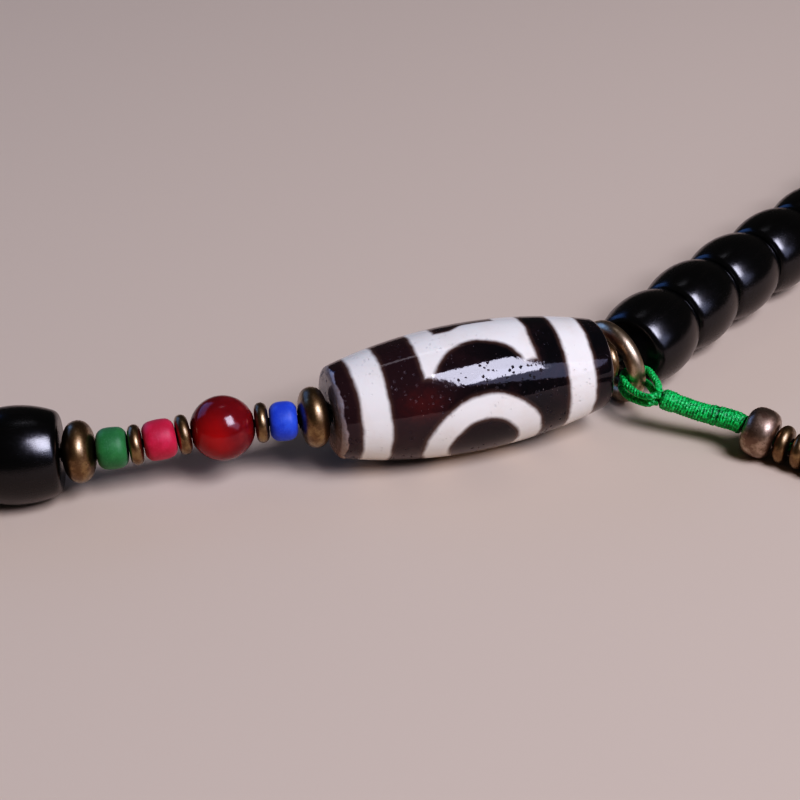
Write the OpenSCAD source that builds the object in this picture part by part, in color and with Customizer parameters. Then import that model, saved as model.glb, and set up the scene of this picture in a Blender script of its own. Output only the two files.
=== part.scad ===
// A string of prayer beads, long enough to go round the wrist in several turns, laid down in one open loop.
// Black drum beads make up the loop. At its front are a long patterned stone bead, a round red stone,
// glass beads, brass discs and a brass ring, and on the ring a green cord with a short row of discs.
// Millimetres, +Z up, the beads lie on Z = 0, and the origin is under the middle of the loop's box.

/* [Black beads] */
// How many black beads are on the thread
bead_count = 108; // [106:1:108]
// Widest diameter of a black bead
bead_d = 9.2; // [9:0.1:9.3]
// Gap between two black beads on the thread
bead_gap = 0.34; // [0.32:0.02:0.6]
// Round of a black bead's rims
bead_rim = 0.9; // [0.7:0.1:1.2]
// Radius of the slight belly along a black bead
bead_belly = 9.5; // [9:0.5:14]

/* [Long stone bead] */
// Length of the long patterned stone
stone_len = 27.2; // [26.2:0.2:27.2]
// Diameter at its middle
stone_d = 12.4; // [12:0.1:12.4]
// Diameter at its cut ends
stone_end_d = 8.6; // [8:0.1:9]
// Round of the rims at its cut ends
stone_rim = 0.5; // [0.3:0.1:0.8]
// Height of its middle above the surface that it lies on
stone_z = 6.22; // [6.22:0.01:6.3]

/* [Round stone] */
// Diameter of the round red stone
round_d = 6.1; // [5.8:0.1:6.1]

/* [Glass beads] */
// Diameter of the green glass bead
green_d = 3.9; // [3.7:0.1:4]
// Diameter of the red one
red_d = 3.8; // [3.7:0.1:4]
// Diameter of the blue one
blue_d = 3.7; // [3.7:0.1:4]
// Length of the green one
green_len = 2.8; // [2.4:0.1:2.8]
// Length of the red one
red_len = 3; // [2.6:0.1:3]
// Length of the blue one
blue_len = 2.6; // [2.3:0.1:2.6]
// Round of their rims
glass_rim = 0.9; // [0.5:0.1:0.9]
// Radius of the slight belly along them
glass_belly = 5.5; // [5.5:0.5:12]

/* [Brass discs] */
// Diameter of the two large discs
large_disc_d = 5.8; // [5.4:0.1:6]
// Thickness at its hole of the large disc beside the black bead
left_disc_t = 3.15; // [2.75:0.1:3.15]
// Thickness at its hole of the large disc beside the long stone
right_disc_t = 2.85; // [2.45:0.1:2.85]
// Round of a large disc's rim as a share of its thickness
large_rim_share = 0.4; // [0.34:0.01:0.4]
// Diameter of the small discs
small_disc_d = 3.8; // [3.6:0.1:3.9]
// Thickness of a small disc at its hole, between the glass beads
small_disc_t = 1.35; // [1.15:0.1:1.35]
// Thickness of a small disc on the counter's string, and of the one at the long stone's end
counter_disc_t = 1.5; // [1.3:0.1:1.5]
// Round of a small disc's rim as a share of its thickness
small_rim_share = 0.44; // [0.38:0.01:0.44]

/* [Brass ring] */
// Outside diameter of the ring
ring_d = 8.8; // [8.6:0.1:8.8]
// Diameter of the ring's wire
ring_wire = 1.8; // [1.6:0.1:1.8]

/* [Thread] */
// Diameter of the thread that carries the loop
thread_d = 0.9; // [0.7:0.1:0.9]
// Diameter of the holes through the beads
hole_d = 1.6; // [1.6:0.1:1.8]

/* [Green cord and its discs] */
// Diameter of each of the two cords that pass through the ring
cord_d = 0.7; // [0.6:0.05:0.7]
// Diameter of the wound shank that both cords end in
shank_d = 2; // [1.8:0.1:2]
// Diameter of the string inside the barrel bead and the discs
string_d = 0.9; // [0.8:0.05:1]
// Diameter of the brass barrel bead under the shank
barrel_d = 4.9; // [4.6:0.1:4.9]
// Length of that barrel bead
barrel_len = 3.1; // [2.8:0.1:3.1]
// Round of the barrel bead's rims
barrel_rim = 1; // [0.8:0.1:1.2]
// Radius of the belly along the barrel bead
barrel_belly = 4.5; // [4.2:0.1:6]
// How many small discs follow the barrel bead
counter_discs = 10; // [4:1:10]
// Distance from one of those discs to the next
counter_pitch = 1.75; // [1.7:0.05:1.9]
// Diameter of the knot that keeps the discs on
knot_d = 2.4; // [2:0.1:2.8]

/* [Hidden] */
$fn = 96;
TINY = 0.01;

// Where the front row's own zero lies, a point under the long stone's left half, seen from the origin
front = [58, -142.35, 0];

// Guide points of the row of black beads in plan, from the ring round by the right, back to the left end
guide = [
    [14.7, -1.9], [26.2, 12.8], [33.5, 22], [45.6, 34.7], [64.5, 55.8], [82, 90], [93, 129], [92, 170], [80, 209],
    [57, 244], [26, 272], [-12, 290], [-53, 298], [-94, 293], [-132, 277], [-166, 250], [-191, 216],
    [-206, 176], [-210, 134], [-201, 94], [-183, 57], [-155, 27], [-119, 5.5], [-80, -7.5],
    [-51, -10.8], [-35.15, -9.5], [-18.4, -6.8]];
guide_steps = 24;

// The row at the front, left to right: node, middle x, y, z, heading and rise of the hole in degrees
front_row = [
    ["brass_disc_1",   -29.41, -8.9,  4.75,  4, 3],
    ["green_bead",     -26.4,  -8.65, 4.95,  7, 3],
    ["brass_disc_2",   -24.29, -8.3,  5.1,  11, 4],
    ["red_bead",       -22.15, -7.7,  5.25, 15, 4],
    ["brass_disc_3",   -20.03, -7.1,  5.4,  16, 4],
    ["carnelian_bead", -16.45, -6.3,  5.6,  12, 3],
    ["brass_disc_4",   -12.86, -5.7,  5.8,   8, 3],
    ["blue_bead",      -10.83, -5.6,  5.9,   6, 2],
    ["brass_disc_5",    -8.05, -5.1,  6.0,  14, 2]];

// The long stone: middle, heading and rise
stone_at = [6.36, -0.25, stone_z];
stone_heading = 18;
stone_rise = 0.8;

// The last disc sits against the long stone's right end
end_disc_gap = 0.3;

// The ring stands on its edge between that disc and the first black bead, and leans a little
ring_heading = 34;
ring_lean = 8;
ring_at = [21.4, 7.45, (ring_d - ring_wire) / 2 * cos(ring_lean) + ring_wire / 2 + 0.03];

// The thread's way from the last disc through the ring to the first black bead
thread_through_ring = [[21.05, 4.62, 6.27], [21.65, 6.2, 5.6], [22.7, 8, 5.05], [23.9, 9.9, 4.65]];

// The shank's middle line from the cords' joint to the barrel bead
shank = [[25.35, 1.3, 4], [27.15, 0.6, 3.65], [29, 0, 3.25], [31.05, -0.65, 3.05], [32.3, -1.2, 2.95]];

// The two cords round the ring's wire, each from the joint's near side to its far side
upper_cord = [
    [24.2, 1.05, 4.27], [23.7, 1.6, 4.03], [23.2, 2.25, 3.92], [22.7, 2.95, 3.95], [22.25, 3.75, 4.05],
    [22.05, 4.6, 4.15], [22.2, 5.5, 4.15], [22.75, 6.2, 4.1], [23.55, 6.55, 4.05], [24.2, 6.3, 4.25],
    [24.65, 5.4, 4.55], [24.95, 4.4, 4.55], [25.2, 3.4, 4.5], [25.25, 2.5, 4.5]];
lower_cord = [
    [24.2, 1.25, 3.4], [23.7, 1.85, 3.12], [23.15, 2.5, 2.97], [22.55, 3.3, 2.85], [22.1, 4.15, 2.95],
    [22, 5.05, 3.1], [22.35, 5.9, 3.15], [23.05, 6.5, 3.05], [23.75, 6.6, 2.9], [24.4, 5.95, 2.95],
    [24.7, 4.9, 3.2], [24.85, 3.8, 3.4], [25, 2.7, 3.55]];
// How far each of the four strands lies from the joint's middle, and how long they run side by side
strand_spread = 0.38;
strand_run = 0.45;
strand_gap = 0.03;

// The barrel bead's place
barrel_at = [34.5, -2.5, barrel_d / 2 + 0.05];
barrel_heading = -30;
barrel_rise = -8;
// Inside it the string hangs this far below the hole's middle at the far end
string_drop = 0.17;

// The row of discs leaves the barrel bead on a gentle bend to this heading, and lies on the surface
disc_row_at = [36.6, -3.7, small_disc_d / 2 + 0.03];
disc_row_heading = -34;
disc_row_turn = -1.5;

// The wound shank ends just before the barrel bead, where a short shoulder leads to the string inside
shank_clear = 0.15;
shank_shoulder = 0.1;

// The knot keeps this far from the last disc, and is cut through at this angle from its widest ring
knot_gap = 0.35;
knot_cut = 70;

cord_sides = 8;
shank_sides = 12;
cord_steps = 3;

// Row of black beads

function bend(a, b, c, d, t) =
    (pow(1 - t, 3) * a + (3 * pow(t, 3) - 6 * t * t + 4) * b
     + (3 * t + 3 * t * t - 3 * pow(t, 3) + 1) * c + pow(t, 3) * d) / 6;

lay = [
    for (i = [0:len(guide) - 4])
        for (k = [0:guide_steps - (i == len(guide) - 4 ? 0 : 1)])
            bend(guide[i], guide[i + 1], guide[i + 2], guide[i + 3], k / guide_steps)];
run = [for (i = 0, s = 0; i < len(lay); s = s + norm(lay[min(i + 1, len(lay) - 1)] - lay[i]), i = i + 1) s];
lay_x = [for (i = [0:len(lay) - 1]) [run[i], lay[i].x]];
lay_y = [for (i = [0:len(lay) - 1]) [run[i], lay[i].y]];

bead_pitch = run[len(run) - 1] / (bead_count - 1);
bead_len = bead_pitch - bead_gap;

function laid(s) = [lookup(s, lay_x), lookup(s, lay_y), bead_d / 2];
function bead_at(i) = laid(i * bead_pitch);
function laid_heading(s) =
    let (way = laid(s + bead_len / 2) - laid(s - bead_len / 2)) atan2(way.y, way.x);

// Columns of the front row
function place(row) = [row[1], row[2], row[3]];
function heading(row) = row[4];
function rise(row) = row[5];
function in_row(name) = front_row[search([name], front_row)[0]];

function direction(heading, rise) = [cos(heading) * cos(rise), sin(heading) * cos(rise), sin(rise)];

stone_way = direction(stone_heading, stone_rise);
stone_left = stone_at - stone_way * stone_len / 2;
stone_right = stone_at + stone_way * stone_len / 2;
end_disc_at = stone_right + stone_way * (end_disc_gap + counter_disc_t / 2);

// Places of the discs behind the barrel bead, each one pitch on from the last, on a gentle bend
function disc_heading(i) = disc_row_heading + i * disc_row_turn;
function counter_disc_at(i) =
    i == 0 ? disc_row_at
           : counter_disc_at(i - 1) + counter_pitch * direction(disc_heading(i - 0.5), 0);

// Where a strand meets the joint: side and top are 1 or -1, back is how far before the joint
shank_way = unit(shank[1] - shank[0]);
shank_side = unit([-shank_way.y, shank_way.x, 0]);
shank_top = cross(shank_way, shank_side);
function strand_end(side, top, back) =
    shank[0] - shank_way * (back + strand_gap) + (shank_side * side + shank_top * top) * strand_spread;
function strand(top, points) = concat(
    [strand_end(-1, top, 0)],
    rounded(concat([strand_end(-1, top, strand_run)], points, [strand_end(1, top, strand_run)])),
    [strand_end(1, top, 0)]);

// Sweeping round cords

// A curve through every point of a path, with cord_steps points to a span
function curve(a, b, c, d, t) =
    (2 * b + (c - a) * t + (2 * a - 5 * b + 4 * c - d) * t * t + (3 * b - a - 3 * c + d) * t * t * t) / 2;
function rounded(path) = [
    for (i = [0:len(path) - 2])
        for (k = [0:cord_steps - (i == len(path) - 2 ? 0 : 1)])
            curve(path[max(i - 1, 0)], path[i], path[i + 1], path[min(i + 2, len(path) - 1)],
                k / cord_steps)];

function next_of(path, i, closed) = closed ? path[(i + 1) % len(path)] : path[min(i + 1, len(path) - 1)];
function last_of(path, i, closed) = closed ? path[(i + len(path) - 1) % len(path)] : path[max(i - 1, 0)];
function unit(v) = v / norm(v);
function around(path, i, radius, sides, closed) =
    let (
        way = unit(next_of(path, i, closed) - last_of(path, i, closed)),
        side = unit([-way.y, way.x, 0]),
        top = cross(way, side))
    [for (k = [0:sides - 1]) path[i] + radius * (cos(360 * k / sides) * side + sin(360 * k / sides) * top)];

// A round cord along a path; radii is one number or a list with one for each point
module cord(path, radii, sides, closed = false) {
    count = len(path);
    spans = closed ? count : count - 1;
    rings = [for (i = [0:count - 1]) around(path, i, is_list(radii) ? radii[i] : radii, sides, closed)];
    walls = [
        for (i = [0:spans - 1])
            for (k = [0:sides - 1])
                let (j = (i + 1) % count, n = (k + 1) % sides)
                [i * sides + k, j * sides + k, j * sides + n, i * sides + n]];
    ends = closed ? [] : [
        [for (k = [0:sides - 1]) k],
        [for (k = [0:sides - 1]) count * sides - 1 - k]];
    polyhedron(points = [for (ring = rings) each ring], faces = concat(walls, ends), convexity = 8);
}

// Turned shapes, each round Z with its middle at zero

// Half section of a barrel with round rims, a slight belly and a hole
module barrel_section(d, length, rim, belly, hole) {
    belly_x = d / 2 - belly;
    rim_y = length / 2 - rim;
    rim_x = belly_x + sqrt(pow(belly - rim, 2) - pow(rim_y, 2));
    out = belly * 1.5 / (belly - rim);
    intersection() {
        union() {
            for (side = [-1, 1]) translate([rim_x, side * rim_y]) circle(r = rim);
            translate([0, -length / 2]) square([rim_x, length]);
            intersection() {
                translate([belly_x, 0]) circle(r = belly);
                polygon([
                    [belly_x, 0],
                    [belly_x + (rim_x - belly_x) * out, -rim_y * out],
                    [belly_x + (rim_x - belly_x) * out, rim_y * out]]);
            }
        }
        translate([hole / 2, -length / 2]) square([d / 2, length]);
    }
}

// Half section of a disc with swelling faces and a round rim
module disc_section(d, t, share, hole) {
    rim = t * share;
    rim_x = d / 2 - rim;
    face = (rim_x * rim_x + t * t / 4 - rim * rim) / (t - 2 * rim);
    drop = face - t / 2;
    out = face / (face - rim);
    intersection() {
        union() {
            translate([rim_x, 0]) circle(r = rim);
            intersection() {
                translate([0, -drop]) circle(r = face);
                translate([0, drop]) circle(r = face);
                polygon([
                    [0, -t], [rim_x * out, -drop * (out - 1)], [rim_x, 0],
                    [rim_x * out, drop * (out - 1)], [0, t]]);
            }
        }
        translate([hole / 2, -t]) square([d / 2, 2 * t]);
    }
}

module barrel_bead(d, length, rim, belly, hole = hole_d) {
    rotate_extrude() barrel_section(d, length, rim, belly, hole);
}

module disc(d, t, share, hole = hole_d) {
    rotate_extrude() disc_section(d, t, share, hole);
}

module ball_bead(d) {
    rotate_extrude() difference() {
        translate([0, -d / 2]) square([d / 2, d]);
        difference() {
            translate([-d, -d]) square([2 * d, 2 * d]);
            circle(d = d);
        }
        translate([-TINY, -d]) square([hole_d / 2 + TINY, 2 * d]);
    }
}

// Sets a turned shape down with its hole along a heading
module strung(at, heading, rise = 0) {
    translate(front + at) rotate([0, 90 - rise, heading]) children();
}

module in_front_row(name) {
    row = in_row(name);
    strung(place(row), heading(row), rise(row)) children();
}

// The nodes

module black_beads(first, last) {
    color("#17151a")
        for (i = [first:last])
            strung(bead_at(i), laid_heading(i * bead_pitch))
                barrel_bead(bead_d, bead_len, bead_rim, bead_belly);
}

module black_beads_right() { black_beads(0, floor(bead_count / 2) - 1); }
module black_beads_left() { black_beads(floor(bead_count / 2), bead_count - 1); }

module main_thread() {
    path = concat(
        [for (i = [0:bead_count - 1]) bead_at(i)],
        [for (row = front_row) place(row)],
        [stone_left, stone_at, stone_right, end_disc_at],
        thread_through_ring);
    color("#1c1716") translate(front) cord(path, thread_d / 2, cord_sides, closed = true);
}

module large_disc(name, t) { color("#8c6b3a") in_front_row(name) disc(large_disc_d, t, large_rim_share); }
module small_disc(name) {
    color("#8c6b3a") in_front_row(name) disc(small_disc_d, small_disc_t, small_rim_share);
}

module glass_bead(name, d, length, tint) {
    color(tint) in_front_row(name) barrel_bead(d, length, glass_rim, glass_belly);
}

module carnelian_bead() { color("#8f1518") in_front_row("carnelian_bead") ball_bead(round_d); }

module dzi_bead() {
    swell = (stone_d - stone_end_d) / 2;
    belly = (pow(stone_len / 2, 2) + pow(swell, 2)) / (2 * swell);
    color("#3a2620")
        strung(stone_at, stone_heading, stone_rise)
            barrel_bead(stone_d, stone_len, stone_rim, belly);
}

module brass_disc_6() {
    color("#8c6b3a")
        strung(end_disc_at, stone_heading, stone_rise)
            disc(small_disc_d, counter_disc_t, small_rim_share);
}

module counter_ring() {
    color("#8c6b3a")
        strung(ring_at, ring_heading, ring_lean)
            rotate_extrude() translate([(ring_d - ring_wire) / 2, 0]) circle(d = ring_wire);
}

module counter_cord(top, points) {
    color("#0f7a35") translate(front) cord(strand(top, points), cord_d / 2, cord_sides);
}

module counter_cord_upper() { counter_cord(1, upper_cord); }
module counter_cord_lower() { counter_cord(-1, lower_cord); }

// The wound shank, the string inside the barrel bead and the discs, and the knot after them, as one cord
module counter_shank() {
    barrel_way = direction(barrel_heading, barrel_rise);
    barrel_face = barrel_at - barrel_way * barrel_len / 2;
    shoulder = barrel_face - barrel_way * shank_clear;
    wound = rounded(concat(shank, [shoulder - barrel_way * shank_shoulder]));
    knot_way = direction(disc_heading(counter_discs), 0);
    knot = counter_disc_at(counter_discs - 1) + knot_way * (counter_disc_t / 2 + knot_gap + knot_d / 2);
    knot_turns = [-knot_cut:knot_cut / 2:knot_cut];
    path = concat(
        wound,
        [shoulder, barrel_at, barrel_at + barrel_way * barrel_len / 2 - [0, 0, string_drop]],
        [for (i = [0:counter_discs - 1]) counter_disc_at(i)],
        [for (a = knot_turns) knot + knot_way * sin(a) * knot_d / 2]);
    radii = concat(
        [for (p = wound) shank_d / 2],
        [for (i = [1:counter_discs + 3]) string_d / 2],
        [for (a = knot_turns) cos(a) * knot_d / 2]);
    color("#0f7a35") translate(front) cord(path, radii, shank_sides);
}

module counter_barrel() {
    color("#8c6b3a")
        strung(barrel_at, barrel_heading, barrel_rise)
            barrel_bead(barrel_d, barrel_len, barrel_rim, barrel_belly);
}

module counter_disc(i) {
    color("#8c6b3a")
        strung(counter_disc_at(i - 1), disc_heading(i - 1))
            disc(small_disc_d, counter_disc_t, small_rim_share);
}

black_beads_right();
black_beads_left();
main_thread();
large_disc("brass_disc_1", left_disc_t);  // brass_disc_1
glass_bead("green_bead", green_d, green_len, "#2c7a3c");  // green_bead
small_disc("brass_disc_2");  // brass_disc_2
glass_bead("red_bead", red_d, red_len, "#c2203a");  // red_bead
small_disc("brass_disc_3");  // brass_disc_3
carnelian_bead();
small_disc("brass_disc_4");  // brass_disc_4
glass_bead("blue_bead", blue_d, blue_len, "#2440c0");  // blue_bead
large_disc("brass_disc_5", right_disc_t);  // brass_disc_5
dzi_bead();
brass_disc_6();
counter_ring();
counter_cord_upper();
counter_cord_lower();
counter_shank();
counter_barrel();
for (i = [1:counter_discs])
    counter_disc(i);
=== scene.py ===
import bpy
import numpy as np
from mathutils import Matrix


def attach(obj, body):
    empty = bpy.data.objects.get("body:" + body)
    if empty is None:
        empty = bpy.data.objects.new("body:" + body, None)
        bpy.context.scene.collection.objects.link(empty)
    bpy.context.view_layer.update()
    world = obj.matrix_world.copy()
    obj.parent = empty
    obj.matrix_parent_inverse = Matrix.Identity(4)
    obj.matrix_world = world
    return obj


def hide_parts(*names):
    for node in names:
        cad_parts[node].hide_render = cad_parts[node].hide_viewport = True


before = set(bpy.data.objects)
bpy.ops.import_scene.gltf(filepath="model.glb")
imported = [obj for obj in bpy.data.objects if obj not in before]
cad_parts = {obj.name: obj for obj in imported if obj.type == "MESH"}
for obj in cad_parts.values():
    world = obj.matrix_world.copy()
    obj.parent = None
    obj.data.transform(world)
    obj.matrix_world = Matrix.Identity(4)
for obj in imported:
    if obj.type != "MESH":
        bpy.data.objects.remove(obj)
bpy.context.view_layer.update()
print("frame loaded,", len(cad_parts), "nodes")

mm = 0.001
front = np.array([58, -142.35, 0])  # where the front row's zero lies, seen from the origin
bore = 1.6  # hole of every bead and disc
rng = np.random.default_rng(108)


# Ways and frames

# The same directions at length one
def unit(vectors):
    return vectors / np.linalg.norm(vectors, axis=-1, keepdims=True)


# Way of a hole, turned in plan by its heading and lifted at the far end by its rise:
# (cos heading cos rise, sin heading cos rise, sin rise)
def wayOf(heading, rise=0):
    heading, rise = np.broadcast_arrays(np.radians(heading), np.radians(rise))
    flat = np.cos(rise)
    return np.stack([np.cos(heading) * flat, np.sin(heading) * flat, np.sin(rise)], -1)


# Side is level and square to the way, and top is the way crossed with the side
def sideAndTop(way):
    side = unit(np.stack([-way[..., 1], way[..., 0], np.zeros(way.shape[:-1])], -1))
    return side, np.cross(way, side)


# Curve through every point: cubic between neighbours with slopes from the points on both sides
def throughPoints(points, steps, closed=False):
    points = np.asarray(points, float)
    count = len(points)
    index = np.arange(count if closed else count - 1)
    if closed:
        before, after, last = (index - 1) % count, (index + 1) % count, (index + 2) % count
    else:
        before, after, last = np.maximum(index - 1, 0), index + 1, np.minimum(index + 2, count - 1)
    t = (np.arange(steps) / steps)[None, :, None]
    a, b, c, d = (points[k][:, None, :] for k in (before, index, after, last))
    curve = (2 * b + (c - a) * t + (2 * a - 5 * b + 4 * c - d) * t ** 2
             + (3 * b - a - 3 * c + d) * t ** 3) / 2
    curve = curve.reshape(-1, 3)
    return curve if closed else np.vstack([curve, points[-1]])


# Length run along a path up to each point: the sum of the steps before it
def runAlong(path):
    return np.concatenate([[0], np.cumsum(np.linalg.norm(np.diff(path, axis=0), axis=1))])


# Points at even steps along a path
def evenly(path, step):
    run = runAlong(path)
    places = np.linspace(0, run[-1], max(int(round(run[-1] / step)), 2) + 1)
    return np.stack([np.interp(places, run, path[:, k]) for k in range(3)], -1)


# Surfaces

# A surface from places in a grid: parts, along, around, xyz. Around always closes, along does where
# closedAlong says so, and otherwise each end gets a flat cap. "own" holds a place in the piece itself,
# and "tone" a number for each part, for the material to read.
def surface(name, places, own, closedAlong=True, tone=None):
    parts, along, around = places.shape[:3]
    start = (np.arange(parts) * along * around)[:, None, None]
    i = np.arange(along if closedAlong else along - 1)[None, :, None]
    j = np.arange(around)[None, None, :]
    nextI, nextJ = (i + 1) % along, (j + 1) % around
    corners = np.broadcast_arrays(
        start + i * around + j, start + i * around + nextJ,
        start + nextI * around + nextJ, start + nextI * around + j)
    loops = np.stack(corners, -1).reshape(-1)
    starts = np.arange(len(loops) // 4) * 4
    if not closedAlong:
        ring = np.arange(around)
        caps = np.stack([start[:, 0, 0, None] + ring[::-1],
                         start[:, 0, 0, None] + (along - 1) * around + ring], 1).reshape(-1)
        starts = np.concatenate([starts, len(loops) + np.arange(2 * parts) * around])
        loops = np.concatenate([loops, caps])
    mesh = bpy.data.meshes.new(name)
    mesh.vertices.add(parts * along * around)
    mesh.vertices.foreach_set("co", ((places + front) * mm).astype(np.float32).reshape(-1))
    mesh.loops.add(len(loops))
    mesh.loops.foreach_set("vertex_index", loops.astype(np.int32))
    mesh.polygons.add(len(starts))
    mesh.polygons.foreach_set("loop_start", starts.astype(np.int32))
    mesh.update(calc_edges=True)
    mesh.shade_smooth()
    ownPlace = mesh.attributes.new("own", "FLOAT_VECTOR", "POINT")
    ownPlace.data.foreach_set("vector", own.astype(np.float32).reshape(-1))
    if tone is not None:
        shade = mesh.attributes.new("tone", "FLOAT", "POINT")
        shade.data.foreach_set("value", np.repeat(np.asarray(tone, np.float32), along * around))
    piece = bpy.data.objects.new(name, mesh)
    bpy.context.scene.collection.objects.link(piece)
    return piece


# Gives a piece its material and its place on the body, and hides the CAD nodes that it stands for
def finishPiece(piece, material, slot, *nodes):
    piece.data.materials.append(material)
    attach(piece, "root")
    if nodes:
        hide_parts(*nodes)


# A turned piece: place = at + s way + r cos(angle) side + r sin(angle) top, for a closed section of
# (s, r), with r multiplied by swell(angle) where the piece is not quite round
def turned(name, section, at, heading, rise, around, swell=None, tone=None):
    at = np.atleast_2d(np.asarray(at, float))
    way = np.broadcast_to(np.atleast_2d(wayOf(heading, rise)), at.shape)
    side, top = sideAndTop(way)
    angle = np.arange(around) / around * 2 * np.pi
    s, r = section[:, 0][None, :, None], section[:, 1][None, :, None]
    bulge = np.ones((len(at), 1, around)) if swell is None else swell(angle)[:, None, :]
    along = np.broadcast_to(s, (len(at), len(section), around))
    own = np.stack([along, r * bulge * np.cos(angle), r * bulge * np.sin(angle)], -1)
    places = (at[:, None, None] + own[..., 0:1] * way[:, None, None]
              + own[..., 1:2] * side[:, None, None] + own[..., 2:3] * top[:, None, None])
    return surface(name, places, own, True, tone)


# A cord along a path: place = path + r cos(angle) side + r sin(angle) top, with r from the run and angle
def cordAlong(path, radius, around, closed=False):
    if closed:
        way = unit(np.roll(path, -1, 0) - np.roll(path, 1, 0))
    else:
        way = unit(np.gradient(path, axis=0))
    side, top = sideAndTop(way)
    run = runAlong(path)
    angle = np.arange(around) / around * 2 * np.pi
    r = radius(run[:, None], angle[None, :])
    y, z = r * np.cos(angle), r * np.sin(angle)
    places = path[:, None] + y[..., None] * side[:, None] + z[..., None] * top[:, None]
    own = np.stack([np.broadcast_to(run[:, None], r.shape), y, z], -1)
    return places[None], own[None]


# Arc of a section: s = centreS + radius sin(angle), r = centreR + radius cos(angle)
def arc(centreS, centreR, radius, first, last, steps):
    angle = np.radians(np.linspace(first, last, steps))
    return np.stack([centreS + radius * np.sin(angle), centreR + radius * np.cos(angle)], -1)


# Closed section of a drum bead: belly arc, round rims, faces that are flat or dished by a half sine, a
# small lip and the hole. The plan's steps are those of the belly, of a rim and of a face.
def drumSection(plan):
    rim, belly, lip = plan["rim"], plan["belly"], plan["lip"]
    outer, end = plan["diameter"] / 2, plan["length"] / 2
    bellySteps, rimSteps, faceSteps = plan["steps"]
    rimS = end - rim
    rimR = outer - belly + np.sqrt((belly - rim) ** 2 - rimS ** 2)
    turn = np.degrees(np.arcsin(rimS / (belly - rim)))
    lipR = bore / 2 + lip
    share = np.linspace(0, 1, faceSteps + 2)[1:-1]
    dished = end - plan.get("dish", 0) * np.sin(np.pi * share)
    half = np.vstack([arc(rimS, rimR, rim, turn, 90, rimSteps)[1:],
                      np.stack([dished, rimR + (lipR - rimR) * share], -1),
                      arc(end - lip, lipR, lip, 90, 180, 3)])
    return np.vstack([arc(0, outer - belly, belly, -turn, turn, bellySteps), half, half[::-1] * [-1, 1]])


# Closed section of a lens disc from its diameter, its thickness and its rim's round as a share of that:
# two face arcs, and between them the rim's arc, which meets both at their slope
def discSection(d, t, rimShare, faceSteps=9, rimSteps=9, lip=0.08):
    rim = t * rimShare
    rimR = d / 2 - rim
    face = (rimR ** 2 + t ** 2 / 4 - rim ** 2) / (t - 2 * rim)
    drop = face - t / 2
    lean = np.degrees(np.arctan2(rimR, drop))
    rimArc = np.radians(np.linspace(180 - lean, lean, rimSteps))
    outer = np.stack([rim * np.cos(rimArc), rimR + rim * np.sin(rimArc)], -1)
    first = np.degrees(np.arcsin((bore / 2 + lip) / face))
    tilt = np.radians(np.linspace(lean, first, faceSteps))[1:]
    side = np.stack([face * np.cos(tilt) - drop, face * np.sin(tilt)], -1)
    half = np.vstack([side, [[side[-1, 0] - lip, bore / 2]]])
    return np.vstack([outer, half, half[::-1] * [-1, 1]])


# Materials: a small bench that adds nodes and links them

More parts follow.
